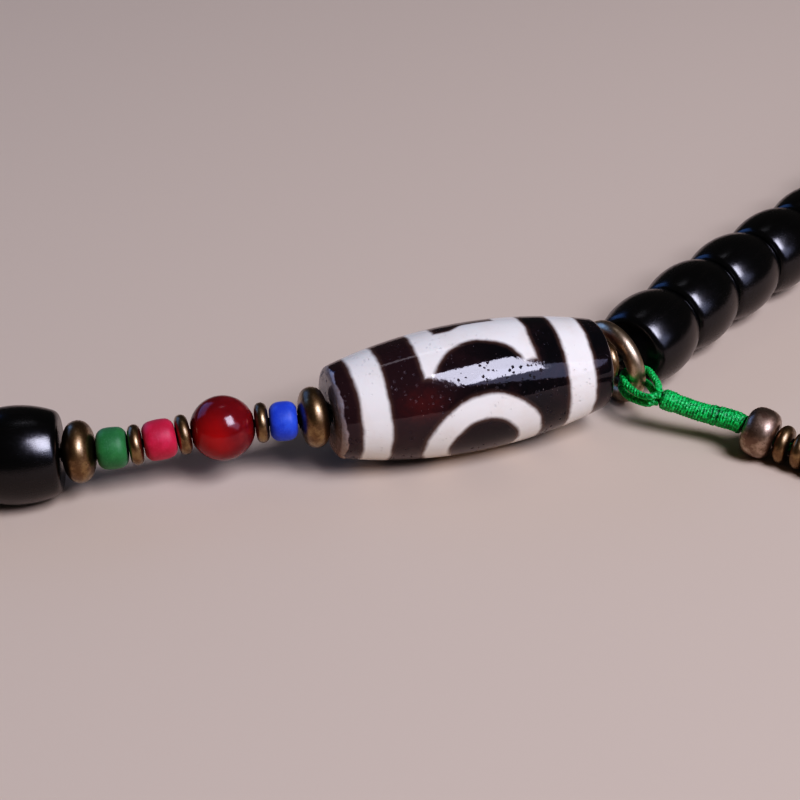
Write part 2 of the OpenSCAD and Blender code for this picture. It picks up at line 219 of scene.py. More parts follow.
class NodeBench:
    def __init__(self, name):
        self.material = bpy.data.materials.new(name)
        self.material.use_nodes = True
        self.tree = self.material.node_tree
        self.tree.nodes.clear()
        output = self.tree.nodes.new("ShaderNodeOutputMaterial")
        self.shader = self.tree.nodes.new("ShaderNodeBsdfPrincipled")
        self.tree.links.new(self.shader.outputs[0], output.inputs["Surface"])

    # Gives a socket a number, a colour or another node's output
    def put(self, socket, value):
        if isinstance(value, bpy.types.NodeSocket):
            self.tree.links.new(value, socket)
        elif hasattr(value, "__len__") and len(value) == 3 and socket.type == "RGBA":
            socket.default_value = (*value, 1)
        else:
            socket.default_value = value

    # Sets the shader's own sockets by name
    def shade(self, sockets):
        for name, value in sockets.items():
            self.put(self.shader.inputs[name], value)

    # Adds a node with its options, fills its sockets by name or number, and returns what it puts out
    def add(self, kind, sockets, **options):
        node = self.tree.nodes.new("ShaderNode" + kind)
        for name, value in options.items():
            setattr(node, name, value)
        for socket, value in sockets.items():
            self.put(node.inputs[socket], value)
        return node.outputs

    # The surface's own place, or its tone
    def attribute(self, name):
        return self.add("Attribute", {}, attribute_name=name)["Vector" if name == "own" else "Fac"]

    def maths(self, kind, *values, clamp=False):
        return self.add("Math", dict(enumerate(values)), operation=kind, use_clamp=clamp)[0]

    def plus(self, first, second):
        return self.maths("ADD", first, second)

    def minus(self, first, second):
        return self.maths("SUBTRACT", first, second)

    def times(self, first, second):
        return self.maths("MULTIPLY", first, second)

    # Length of a slant: root of the sum of both squares
    def reach(self, along, across):
        return self.maths("SQRT", self.plus(self.times(along, along), self.times(across, across)))

    # How far a value lies inside a range, below zero outside it: half the range less the way to its middle
    def within(self, value, low, high):
        away = self.maths("ABSOLUTE", self.minus(value, (low + high) / 2))
        return self.minus((high - low) / 2, away)

    def least(self, first, *others):
        for value in others:
            first = self.maths("MINIMUM", first, value)
        return first

    def most(self, first, *others):
        for value in others:
            first = self.maths("MAXIMUM", first, value)
        return first

    def vectors(self, kind, *values):
        outputs = self.add("VectorMath", dict(enumerate(values)), operation=kind)
        return outputs["Value" if kind == "DISTANCE" else "Vector"]

    # The three numbers of a place or a colour
    def split(self, vector):
        return tuple(self.add("SeparateXYZ", {0: vector}))

    # Own place, moved along the piece by the tone times a length, so that no two parts look the same
    def shifted(self, length):
        moved = self.add("CombineXYZ", {0: self.times(self.attribute("tone"), length)})[0]
        return self.vectors("ADD", self.attribute("own"), moved)

    # Smooth step of a value from low to high, between two outputs
    def ease(self, value, low, high, first=0.0, last=1.0, kind="SMOOTHSTEP"):
        steps = dict(enumerate((value, low, high, first, last)))
        return self.add("MapRange", steps, interpolation_type=kind)[0]

    # From the first colour to the second by a share
    def blend(self, share, first, second):
        return self.add("Mix", {0: share, 6: first, 7: second}, data_type="RGBA")[2]

    # Cloudy noise about 0.5, drawn out along an axis where its stretch is low
    def noise(self, vector, scale, detail=2.0, roughness=0.5, stretch=None):
        if stretch is not None:
            vector = self.vectors("MULTIPLY", vector, stretch)
        return self.add("TexNoise", {"Vector": vector, "Scale": scale, "Detail": detail,
                                     "Roughness": roughness})[0]

    # A place moved by three noises, each times its reach
    def wobbled(self, vector, scale, reach):
        noises = self.add("TexNoise", {"Vector": vector, "Scale": scale})["Color"]
        return self.vectors("MULTIPLY_ADD", noises, (reach,) * 3, vector)

    # Cells strewn in space: the way to the nearest one's middle, and its own three chances
    def cells(self, vector, scale):
        outputs = self.add("TexVoronoi", {"Vector": vector, "Scale": scale})
        return outputs["Distance"], outputs["Color"]

    # Bump whose height 1 stands for depth millimetres
    def bump(self, height, depth, strength):
        sockets = {"Strength": strength, "Distance": depth * mm, "Height": height}
        self.put(self.shader.inputs["Normal"], self.add("Bump", sockets)[0])


# Camera and light

cameraPlan = {"looksAt": front + [0, 0, 4.6], "elevation": 33, "height": 86, "lens": 73.8, "sensor": 36,
              "clip": (0.002, 60)}


# The camera stands straight in front of the place it looks at, back by height / tan(elevation)
def addCamera(plan):
    camera = bpy.data.objects.new("camera", bpy.data.cameras.new("camera"))
    camera.data.lens = plan["lens"]
    camera.data.sensor_width = plan["sensor"]
    camera.data.clip_start, camera.data.clip_end = plan["clip"]
    back = plan["height"] / np.tan(np.radians(plan["elevation"]))
    camera.location = (plan["looksAt"] + [0, -back, plan["height"]]) * mm
    camera.rotation_euler = (np.radians(90 - plan["elevation"]), 0, 0)
    bpy.context.scene.collection.objects.link(camera)
    bpy.context.scene.camera = camera


addCamera(cameraPlan)

# Each light faces the front row: azimuth (0 is +x, 90 is +y), elevation and roll in degrees, distance
# and size in metres
lightPlans = {
    "softbox": {"azimuth": -41, "elevation": 51.7, "roll": -9, "distance": 0.7, "size": (0.297, 0.364),
                "power": 5.6, "colour": (0.81, 0.80, 1.0)},
    "glowUnderSoftbox": {"azimuth": -33, "elevation": 31, "roll": -49, "distance": 0.9,
                         "size": (0.64, 0.34), "power": 1.3, "colour": (0.66, 0.70, 1.0)},
    "window": {"azimuth": 143, "elevation": 25, "roll": 0, "distance": 1.3, "size": (1.0, 0.7),
               "power": 2.9, "colour": (0.22, 0.45, 1.0)},
    "tube": {"azimuth": 94, "elevation": 67, "roll": 20, "distance": 1.0, "size": (0.3, 0.08),
             "power": 0.12, "colour": (0.92, 0.92, 1.0)},
}
lightTarget = (front + [5, -2, 6]) * mm


# The lamp stands at target + distance toward and faces the target, with its width level before the roll
def addLight(name, plan):
    lamp = bpy.data.lights.new(name, "AREA")
    lamp.shape = "RECTANGLE"
    lamp.size, lamp.size_y = plan["size"]
    lamp.energy = plan["power"]
    lamp.color = plan["colour"]
    holder = bpy.data.objects.new(name, lamp)
    toward = wayOf(plan["azimuth"], plan["elevation"])
    holder.location = lightTarget + toward * plan["distance"]
    level, above = sideAndTop(toward)
    roll = np.radians(plan["roll"])
    across = level * np.cos(roll) + above * np.sin(roll)
    turn = np.stack([across, np.cross(toward, across), toward], 1)
    holder.rotation_mode = "QUATERNION"
    holder.rotation_quaternion = Matrix(turn.tolist()).to_quaternion()
    bpy.context.scene.collection.objects.link(holder)


for lightName, lightPlan in lightPlans.items():
    addLight(lightName, lightPlan)

# Faint warm light from all sides, and plain colours with a darker toe, as a camera gives: each pair of the
# curve is light in and light out
airPlan = {"colour": (1.0, 0.93, 0.86), "strength": 0.075,
           "toneCurve": [(0.03, 0.010), (0.12, 0.088), (0.35, 0.34)]}

world = bpy.data.worlds.new("studio")
world.use_nodes = True
air = world.node_tree.nodes["Background"]
air.inputs["Color"].default_value = (*airPlan["colour"], 1)
air.inputs["Strength"].default_value = airPlan["strength"]
bpy.context.scene.world = world
view = bpy.context.scene.view_settings
view.view_transform = "Standard"
view.use_curve_mapping = True
for lightIn, lightOut in airPlan["toneCurve"]:
    view.curve_mapping.curves[3].points.new(lightIn, lightOut)
view.curve_mapping.update()

floorPlan = {"half": 8.0, "colour": (0.62, 0.505, 0.385), "roughness": 0.8}  # half its side in metres


# One square of floor about the origin
def addFloor(plan):
    half = plan["half"]
    corners = [(-half, -half, 0), (half, -half, 0), (half, half, 0), (-half, half, 0)]
    mesh = bpy.data.meshes.new("floor")
    mesh.from_pydata(corners, [], [(0, 1, 2, 3)])
    floor = bpy.data.objects.new("floor", mesh)
    bpy.context.scene.collection.objects.link(floor)
    bench = NodeBench("paleFloor")
    bench.shade({"Base Color": plan["colour"], "Roughness": plan["roughness"]})
    mesh.materials.append(bench.material)


addFloor(floorPlan)
print("camera, lights and floor set")


# Black drum beads

drumPlan = {"count": 108, "diameter": 9.2, "gap": 0.34, "rim": 0.9, "belly": 9.5, "lip": 0.2,
            "steps": (13, 6, 1), "around": 44, "outOfRound": 0.004, "guideSteps": 24}
woodPlan = {"black": (0.0010, 0.0009, 0.0013), "brown": (0.0045, 0.0032, 0.0032),
            "roughness": (0.20, 0.25), "fineRoughness": 0.06, "specular": 0.85, "grain": 0.012}

# Guide points of the row in plan, from the ring round the loop to the front row's left end
guide = np.array([
    [14.7, -1.9], [26.2, 12.8], [33.5, 22], [45.6, 34.7], [64.5, 55.8], [82, 90], [93, 129], [92, 170],
    [80, 209], [57, 244], [26, 272], [-12, 290], [-53, 298], [-94, 293], [-132, 277], [-166, 250],
    [-191, 216], [-206, 176], [-210, 134], [-201, 94], [-183, 57], [-155, 27], [-119, 5.5],
    [-80, -7.5], [-51, -10.8], [-35.15, -9.5], [-18.4, -6.8]])


# The row's middle line: four guide points at a time, weighted by the cubic spline's weights
def rowLine(points, steps):
    t = np.arange(steps) / steps
    weights = np.stack([(1 - t) ** 3, 3 * t ** 3 - 6 * t ** 2 + 4, 1 + 3 * t + 3 * t ** 2 - 3 * t ** 3,
                        t ** 3], -1) / 6
    fours = np.stack([points[k:len(points) - 3 + k] for k in range(4)], 1)
    line = np.einsum("tk,skx->stx", weights, fours).reshape(-1, 2)
    return np.vstack([line, (points[-3] + 4 * points[-2] + points[-1]) / 6])


rowPath = rowLine(guide, drumPlan["guideSteps"])
rowRun = runAlong(rowPath)
beadPitch = rowRun[-1] / (drumPlan["count"] - 1)
beadLength = beadPitch - drumPlan["gap"]


# Place in plan at a length along the row
def onRow(run):
    return np.stack([np.interp(run, rowRun, rowPath[:, k]) for k in range(2)], -1)


beadRun = np.arange(drumPlan["count"]) * beadPitch
beadAt = np.column_stack([onRow(beadRun), np.full(drumPlan["count"], drumPlan["diameter"] / 2)])
beadWay = onRow(beadRun + beadLength / 2) - onRow(beadRun - beadLength / 2)
beadHeading = np.degrees(np.arctan2(beadWay[:, 1], beadWay[:, 0]))


# Polished black wood: fibres along the hole show as faint streaks in colour and gloss
def blackWood(plan):
    bench = NodeBench("polishedBlackWood")
    place = bench.shifted(300.0)
    streaks = bench.noise(place, 2.4, 4, 0.6, (0.16, 1, 1))
    cloud = bench.noise(place, 0.35, 2)
    fine = bench.noise(place, 9, 3, 0.6, (0.25, 1, 1))
    bench.shade({
        "Base Color": bench.blend(bench.ease(streaks, 0.45, 0.75), plan["black"], plan["brown"]),
        "Roughness": bench.plus(bench.ease(cloud, 0.3, 0.7, *plan["roughness"]),
                                bench.ease(fine, 0.4, 0.8, 0, plan["fineRoughness"])),
        "Specular IOR Level": plan["specular"]})
    bench.bump(bench.plus(bench.times(streaks, 0.7), fine), plan["grain"], 0.6)
    return bench.material


# Each bead's swell: 1 + share (cos(2 angle + lean) - 1 + size), with a lean and a size of its own
def outOfRound(count):
    lean = rng.uniform(0, 2 * np.pi, (count, 1))
    size = rng.uniform(-1, 0.2, (count, 1))
    return lambda angle: 1 + drumPlan["outOfRound"] * (np.cos(2 * angle + lean) - 1 + size)


drumWood = blackWood(woodPlan)
drum = drumSection(drumPlan | {"length": beadLength})
half = drumPlan["count"] // 2
for side, chosen in (("right", slice(0, half)), ("left", slice(half, None))):
    beads = beadAt[chosen]
    piece = turned("blackBeads." + side, drum, beads, beadHeading[chosen], 0, drumPlan["around"],
                   outOfRound(len(beads)), rng.uniform(0, 1, len(beads)))
    finishPiece(piece, drumWood, "black_bead", "black_beads_" + side)
print("black beads made, pitch", round(beadPitch, 3))


# Brass: discs, ring and barrel bead

# The grain that all finishes share: its noise scales, how much is rubbed and stained, and its roughness
brassGrain = {"cloud": 0.9, "fine": 7, "spots": 3.2, "rubbed": (0.5, 0.8), "stain": (0.6, 0.72),
              "stainShare": 0.55, "roughness": (0.40, 0.29), "fineRoughness": (-0.02, 0.07),
              "coatRoughness": 0.24, "depth": 0.008}
brassFinishes = {
    "agedDiscBrass": {"bright": (0.34, 0.235, 0.125), "brown": (0.19, 0.122, 0.062),
                      "skin": (0.06, 0.036, 0.019), "coat": 0.6, "rougher": 0.03},
    "agedRingBrass": {"bright": (0.62, 0.50, 0.37), "brown": (0.38, 0.295, 0.205),
                      "skin": (0.12, 0.09, 0.055), "coat": 0, "rougher": 0},
    "agedBarrelBrass": {"bright": (0.46, 0.345, 0.265), "brown": (0.22, 0.15, 0.108),
                        "skin": (0.08, 0.052, 0.038), "coat": 0.6, "rougher": 0.06},
}


# Aged brass: bright where it rubs, brown elsewhere, darker skin in spots, and a fine grain
def agedBrass(name, plan, grain):
    bench = NodeBench(name)
    place = bench.shifted(70.0)
    cloud = bench.noise(place, grain["cloud"], 4, 0.6)
    fine = bench.noise(place, grain["fine"], 3, 0.65)
    spots = bench.noise(place, grain["spots"], 3, 0.6)
    rubbed = bench.ease(bench.plus(cloud, bench.times(fine, 0.25)), *grain["rubbed"])
    stained = bench.ease(spots, *grain["stain"])
    colour = bench.blend(rubbed, plan["brown"], plan["bright"])
    colour = bench.blend(bench.times(stained, grain["stainShare"]), colour, plan["skin"])
    plain, polished = (roughness + plan["rougher"] for roughness in grain["roughness"])
    bench.shade({
        "Base Color": colour, "Metallic": bench.ease(stained, 0, 1, 1.0, 0.8),
        "Roughness": bench.plus(bench.ease(rubbed, 0, 1, plain, polished),
                                bench.ease(fine, 0.3, 0.8, *grain["fineRoughness"])),
        "Coat Weight": plan["coat"], "Coat Roughness": grain["coatRoughness"]})
    bench.bump(bench.plus(bench.times(cloud, 1.5), fine), grain["depth"], 0.8)
    return bench.material


discBrass, ringBrass, barrelBrass = (
    agedBrass(name, plan, brassGrain) for name, plan in brassFinishes.items())

# Each disc: diameter, thickness at its hole, and its rim's round as a share of the thickness
discPlan = {"left": (5.8, 3.15, 0.4), "right": (5.8, 2.85, 0.4), "small": (3.8, 1.35, 0.44),
            "counter": (3.8, 1.5, 0.44)}
discAround = 72
counterThickness = discPlan["counter"][1]

# The row at the front, left to right: node, middle x, y, z, heading and rise of the hole
frontRow = {
    "brass_disc_1": (-29.41, -8.9, 4.75, 4, 3),
    "green_bead": (-26.4, -8.65, 4.95, 7, 3),
    "brass_disc_2": (-24.29, -8.3, 5.1, 11, 4),
    "red_bead": (-22.15, -7.7, 5.25, 15, 4),
    "brass_disc_3": (-20.03, -7.1, 5.4, 16, 4),
    "carnelian_bead": (-16.45, -6.3, 5.6, 12, 3),
    "brass_disc_4": (-12.86, -5.7, 5.8, 8, 3),
    "blue_bead": (-10.83, -5.6, 5.9, 6, 2),
    "brass_disc_5": (-8.05, -5.1, 6.0, 14, 2),
}

stonePlan = {"at": np.array([6.36, -0.25, 6.22]), "heading": 18, "rise": 0.8, "length": 27.2,
             "diameter": 12.4, "endDiameter": 8.6, "rim": 0.75, "lip": 0.25, "dish": -0.08,
             "steps": (97, 11, 7), "around": 176, "endDiscGap": 0.3}
stoneWay = wayOf(stonePlan["heading"], stonePlan["rise"])
endDiscOut = stonePlan["length"] / 2 + stonePlan["endDiscGap"] + counterThickness / 2
endDiscAt = stonePlan["at"] + stoneWay * endDiscOut


# One brass disc, of the kind that the plan names
def placeDisc(node, kind, at, heading, rise):
    section = discSection(*discPlan[kind])
    piece = turned(node.replace("_", "."), section, at, heading, rise, discAround, tone=[rng.uniform(0, 1)])
    finishPiece(piece, discBrass, "aged_brass", node)


for number, kind in enumerate(("left", "small", "small", "small", "right"), 1):
    *at, heading, rise = frontRow[f"brass_disc_{number}"]
    placeDisc(f"brass_disc_{number}", kind, at, heading, rise)
placeDisc("brass_disc_6", "counter", endDiscAt, stonePlan["heading"], stonePlan["rise"])

# Ring on its edge: the middle circle of its wire lies in the plane square to the hole's way
ringPlan = {"at": (21.4, 7.45), "heading": 34, "lean": 8, "diameter": 8.8, "wire": 1.8, "steps": 36,
            "around": 144, "lift": 0.03}
ringHalf, wireHalf = (ringPlan["diameter"] - ringPlan["wire"]) / 2, ringPlan["wire"] / 2
ringZ = ringHalf * np.cos(np.radians(ringPlan["lean"])) + wireHalf + ringPlan["lift"]
ringSection = arc(0, ringHalf, wireHalf, -180, 180, ringPlan["steps"] + 1)[:-1]
ring = turned("counter.ring", ringSection, (*ringPlan["at"], ringZ), ringPlan["heading"], ringPlan["lean"],
              ringPlan["around"], tone=[rng.uniform(0, 1)])
finishPiece(ring, ringBrass, "aged_brass", "counter_ring")

barrelPlan = {"at": np.array([34.5, -2.5, 2.5]), "heading": -30, "rise": -8, "diameter": 4.9, "length": 3.1,
              "rim": 1.2, "belly": 4.5, "lip": 0.15, "steps": (11, 9, 3), "around": 96, "tone": 0.3,
              "stringDrop": 0.17}
barrel = turned("counter.barrel", drumSection(barrelPlan), barrelPlan["at"], barrelPlan["heading"],
                barrelPlan["rise"], barrelPlan["around"], tone=[barrelPlan["tone"]])
finishPiece(barrel, barrelBrass, "aged_brass", "counter_barrel")

# Row of discs behind the barrel bead, on a gentle bend
discRow = {"at": np.array([36.6, -3.7, 1.93]), "heading": -34, "turn": -1.5, "pitch": 1.75, "count": 10}
discHeading = discRow["heading"] + discRow["turn"] * np.arange(discRow["count"])
stepWay = wayOf(discHeading[1:] - discRow["turn"] / 2)
counterDiscAt = discRow["at"] + np.vstack([np.zeros(3), np.cumsum(stepWay * discRow["pitch"], axis=0)])
for k in range(discRow["count"]):
    placeDisc(f"counter_disc_{k + 1}", "counter", counterDiscAt[k], discHeading[k], 0)
print("brass made")


# Glass beads

glassPlan = {"rim": 0.9, "belly": 5.5, "lip": 0.12, "steps": (11, 8, 3), "around": 96,
             "roughness": (0.46, 0.58), "specular": 0.42, "sheen": 0.12, "sheenRoughness": 0.5,
             "dust": 0.22, "dullPatches": 0.15, "grain": 0.012}
glassBeads = {
    "green_bead": {"diameter": 3.9, "length": 2.8, "colour": (0.044, 0.205, 0.060),
                   "deep": (0.028, 0.150, 0.044), "bloom": (0.20, 0.42, 0.26),
                   "finish": "matteGreenGlass", "slot": "green_glass"},
    "red_bead": {"diameter": 3.8, "length": 3.0, "colour": (0.60, 0.026, 0.072),
                 "deep": (0.46, 0.016, 0.048), "bloom": (0.75, 0.20, 0.24),
                 "finish": "matteRedGlass", "slot": "red_glass"},
    "blue_bead": {"diameter": 3.7, "length": 2.6, "colour": (0.040, 0.105, 0.66),
                  "deep": (0.022, 0.066, 0.50), "bloom": (0.22, 0.30, 0.82),
                  "finish": "matteBlueGlass", "slot": "blue_glass"},
}


# Opaque glass, matte from wear: a dusty bloom and faint dull patches over the colour
def matteGlass(plan):
    bench = NodeBench(plan["finish"])
    own = bench.attribute("own")
    cloud = bench.noise(own, 0.8, 3, 0.6)
    fine = bench.noise(own, 8, 4, 0.65)
    around = bench.noise(own, 2.2, 3, 0.6, (3.0, 0.5, 0.5))
    base = bench.blend(bench.ease(cloud, 0.35, 0.7), plan["deep"], plan["colour"])
    base = bench.blend(bench.ease(fine, 0.5, 0.8, 0, plan["dust"]), base, plan["bloom"])
    base = bench.blend(bench.ease(around, 0.55, 0.8, 0, plan["dullPatches"]), base, plan["bloom"])
    bench.shade({
        "Base Color": base, "Roughness": bench.ease(fine, 0.3, 0.7, *plan["roughness"]),
        "Specular IOR Level": plan["specular"], "Sheen Weight": plan["sheen"],
        "Sheen Roughness": plan["sheenRoughness"]})
    bench.bump(bench.plus(fine, around), plan["grain"], 0.7)
    return bench.material


for node in glassBeads:
    plan = glassPlan | glassBeads[node]
    *at, heading, rise = frontRow[node]
    piece = turned(node.replace("_", "."), drumSection(plan), at, heading, rise, plan["around"])
    finishPiece(piece, matteGlass(plan), plan["slot"], node)


# Round red stone

# Clear is the red of a painted glow, as of light gathered after passing through the ball, about glowAt; deep
# is the stone's own red
ballPlan = {"diameter": 6.1, "lip": 0.12, "steps": 49, "around": 128, "glowAt": (-0.40, -0.62, 0.12),
            "paintedGlowReach": (1.2, 3.6), "deep": (0.16, 0.010, 0.015), "clear": (0.42, 0.016, 0.017),
            "band": (0.30, 0.030, 0.028), "bandShare": 0.35, "roughness": 0.16, "scatterShare": 0.45,
            "scatter": (2.2, 0.5, 0.35)}


# Closed section of a drilled ball: a half circle from lip to lip, then the hole
def ballSection(plan):
    radius, lip = plan["diameter"] / 2, plan["lip"]
    lean = np.degrees(np.arccos((bore / 2 + lip) / radius))
    outer = arc(0, 0, radius, -lean, lean, plan["steps"])
    end = outer[-1, 0]
    inner = np.array([[end - lip * 0.3, bore / 2 + lip * 0.3], [end - lip, bore / 2]])
    return np.vstack([outer, inner, inner[::-1] * [-1, 1]])


# Clear red stone: a painted glow, of light passed through the ball, low on one side; faint clouds drift in
# it, polish on top
def redStone(plan):
    bench = NodeBench("polishedRedStone")
    own = bench.attribute("own")
    middle = tuple(plan["diameter"] / 2 * share for share in plan["glowAt"])
    clouds = bench.noise(own, 0.5, 3, 0.55)
    bands = bench.noise(own, 0.9, 2, 0.5, (0.4, 1.6, 1.6))
    # Painted glow: the nearer a place lies to the glow's middle, the more it takes the clear red
    away = bench.plus(bench.vectors("DISTANCE", own, middle), bench.times(clouds, 1.2))
    base = bench.blend(bench.ease(away, *plan["paintedGlowReach"], 1, 0), plan["deep"], plan["clear"])
    base = bench.blend(bench.ease(bands, 0.5, 0.75, 0, plan["bandShare"]), base, plan["band"])
    bench.shade({
        "Base Color": base, "Roughness": plan["roughness"], "Subsurface Weight": plan["scatterShare"],
        "Subsurface Radius": plan["scatter"], "Subsurface Scale": mm})
    bench.bump(bench.noise(own, 5, 2), 0.004, 0.5)
    return bench.material


*at, heading, rise = frontRow["carnelian_bead"]
ball = turned("carnelian.bead", ballSection(ballPlan), at, heading, rise, ballPlan["around"])
finishPiece(ball, redStone(ballPlan), "red_stone", "carnelian_bead")
print("glass beads and red stone made")


# Long patterned stone

# Pattern in millimetres along the stone (s) and degrees round it (0 level toward the front, up is plus)
patternPlan = {
    "radius": 6.2, "wander": 0.55, "softEdge": (-0.22, 0.26),
    "leftBand": (-11.7, -9.15), "rightBand": (8.5, 11.3),
    "eyeAt": (-0.2, -28.7), "eye": (3.5, 5.8),
    "frameAt": (0, 147.0), "frameHalf": 5.5, "frameTips": 98.0,
    "hollowAt": (-0.15, 115.5), "hollow": 4.9,
    "squareHalf": (3.1, 42.0), "squareDip": (-1.7, 0.3, 8.0),
    "leftTip": -13.15, "rightTip": 13.42,
}
stoneColours = {
    "white": (0.87, 0.84, 0.76), "cream": (0.79, 0.71, 0.60), "paintedShadeWhite": (0.40, 0.36, 0.33),
    "dark": (0.0085, 0.0075, 0.0095), "brown": (0.036, 0.018, 0.019), "edge": (0.10, 0.060, 0.042),
    "red": (0.085, 0.021, 0.019), "glowAt": (-6.15, 26.0), "glow": (4.2, 3.4), "glowShare": 0.8,
    "pale": (0.30, 0.28, 0.29), "paleWarm": (0.44, 0.30, 0.21), "paleBrown": (0.2, 0.12, 0.09),
    "rightTip": (0.13, 0.045, 0.025), "paintedRimHighlight": (0.55, 0.46, 0.38),
    "pit": (0.03, 0.018, 0.014), "speck": (0.40, 0.33, 0.28),
}
polishPlan = {"roughness": (0.055, 0.12), "pitRoughness": 0.75, "pitShare": 0.12, "speckShare": 0.3,
              "pitDepth": 2.0, "ior": 1.54, "scatterShare": 0.06, "scatter": (0.8, 0.4, 0.3)}


# Closed section of the long stone: the drum section, its belly an arc through both ends and the middle
def stoneSection(plan):
    swell = (plan["diameter"] - plan["endDiameter"]) / 2
    belly = ((plan["length"] / 2) ** 2 + swell ** 2) / (2 * swell)
    return drumSection(plan | {"belly": belly})


# Millimetres round the stone from an angle, plus or minus half its girth: the place's angle from there
# times the radius
def roundFrom(bench, own, angle, radius):
    _, y, z = bench.split(own)
    toFront = bench.times(y, -1.0)
    c, n = float(np.cos(np.radians(angle))), float(np.sin(np.radians(angle)))
    level = bench.plus(bench.times(toFront, c), bench.times(z, n))
    up = bench.minus(bench.times(z, c), bench.times(toFront, n))
    return bench.times(bench.maths("ARCTAN2", up, level), radius)


# Millimetres that a place lies inside the white, below zero in the dark: a band at each end, a ring for
# the eye, and a frame over the top less the square in its middle and a round hollow at each side
def insideWhite(bench, own, s, plan):
    perDegree = plan["radius"] * np.pi / 180
    bands = bench.most(bench.within(s, *plan["leftBand"]), bench.within(s, *plan["rightBand"]))
    eyeS, eyeAngle = plan["eyeAt"]
    fromEye = bench.reach(bench.minus(s, eyeS), roundFrom(bench, own, eyeAngle, plan["radius"]))
    eye = bench.within(fromEye, *plan["eye"])
    frameS, frameAngle = plan["frameAt"]
    fromSquare = bench.maths("ABSOLUTE", roundFrom(bench, own, frameAngle, plan["radius"]))
    hollowS, hollowAngle = plan["hollowAt"]
    fromHollow = bench.reach(bench.minus(s, hollowS), bench.minus(fromSquare, hollowAngle * perDegree))
    squareHalf, squareAngle = plan["squareHalf"]
    dipFrom, dipTo, dip = plan["squareDip"]
    squareEdge = bench.ease(s, dipFrom, dipTo, (squareAngle + dip) * perDegree, squareAngle * perDegree)
    outsideSquare = bench.most(
        bench.minus(bench.maths("ABSOLUTE", bench.minus(s, frameS)), squareHalf),
        bench.minus(fromSquare, squareEdge))
    frameMask = bench.least(
        bench.within(s, frameS - plan["frameHalf"], frameS + plan["frameHalf"]),
        bench.minus(plan["frameTips"] * perDegree, fromSquare),
        bench.minus(fromHollow, plan["hollow"]), outsideSquare)
    return bench.most(bands, eye, frameMask)


# Dark ground with a red glow in it, a brown edge round the white, and the pale tip of the broken left end
def stoneColour(bench, own, pattern, colours):
    s, _, z = bench.split(own)
    wander = bench.minus(bench.noise(own, 0.45, 3, 0.55), 0.5)
    wobble = bench.times(wander, pattern["wander"])
    inside = bench.plus(insideWhite(bench, own, s, pattern), wobble)
    blotch = bench.noise(own, 0.33, 4, 0.6)
    mottle = bench.noise(own, 1.6, 4, 0.65)

    blackness = bench.ease(bench.plus(s, bench.times(wobble, 6.0)), -9, 4)
    dark = bench.blend(blackness, colours["brown"], colours["dark"])
    dark = bench.blend(bench.ease(blotch, 0.42, 0.72, 0, 0.6), dark, colours["brown"])
    glowS, glowAngle = colours["glowAt"]
    glowLong, glowWide = colours["glow"]
    glowRound = roundFrom(bench, own, glowAngle, pattern["radius"])
    fromGlow = bench.reach(bench.maths("DIVIDE", bench.minus(s, glowS), glowLong),
                           bench.maths("DIVIDE", glowRound, glowWide))
    glow = bench.ease(bench.plus(fromGlow, bench.times(mottle, 0.7)), 0.35, 1.15, 1, 0)
    dark = bench.blend(bench.times(glow, colours["glowShare"]), dark, colours["red"])
    dark = bench.blend(bench.ease(inside, -0.62, 0.05, 0, 0.85), dark, colours["edge"])

    white = bench.blend(bench.ease(blotch, 0.4, 0.75, 0, 0.55), colours["white"], colours["cream"])
    # Painted shade: the white turns darker towards the bottom of the stone
    white = bench.blend(bench.ease(z, -5.5, -1.5, 0.35, 0), white, colours["paintedShadeWhite"])
    colour = bench.blend(bench.ease(inside, *pattern["softEdge"]), dark, white)

    pale = bench.blend(bench.ease(z, -4, 3), colours["paleWarm"], colours["pale"])
    palest = bench.blend(0.5, pale, colours["paleBrown"])
    pale = bench.blend(bench.ease(mottle, 0.35, 0.7), pale, palest)
    leftTip, rightTip = pattern["leftTip"], pattern["rightTip"]
    atLeft = bench.ease(bench.plus(s, bench.times(wander, 1.2)), leftTip - 0.08, leftTip + 0.08, 1, 0)
    colour = bench.blend(atLeft, colour, pale)
    colour = bench.blend(bench.ease(s, rightTip, rightTip + 0.2), colour, colours["rightTip"])
    # Painted highlight: a light line along the rim of the right end
    fromRimHighlight = bench.maths("ABSOLUTE", bench.minus(s, rightTip + 0.1))
    paintedRimHighlight = bench.ease(fromRimHighlight, 0.04, 0.12, 1, 0)
    return bench.blend(bench.times(paintedRimHighlight, 0.75), colour, colours["paintedRimHighlight"])


# Tiny pits, thicker in some places than in others, and a few light specks: one in the middle of a cell,
# where the cell's chance is high enough
def pitsAndSpecks(bench, own):
    distance, chances = bench.cells(bench.wobbled(own, 5.0, 0.25), 2.6)
    pitChance, speckChance, _ = bench.split(chances)
    size = bench.ease(pitChance, 0.40, 1.0, 0.0, 0.62, "LINEAR")
    dense = bench.ease(bench.noise(own, 0.28, 2), 0.38, 0.52)
    pitReach = bench.times(bench.plus(size, 0.001), dense)
    pits = bench.ease(bench.ease(distance, 0, pitReach, 1, 0), 0.15, 0.5)
    specks = bench.times(bench.ease(speckChance, 0.86, 0.9), bench.ease(distance, 0.10, 0.16, 1, 0))
    return pits, specks


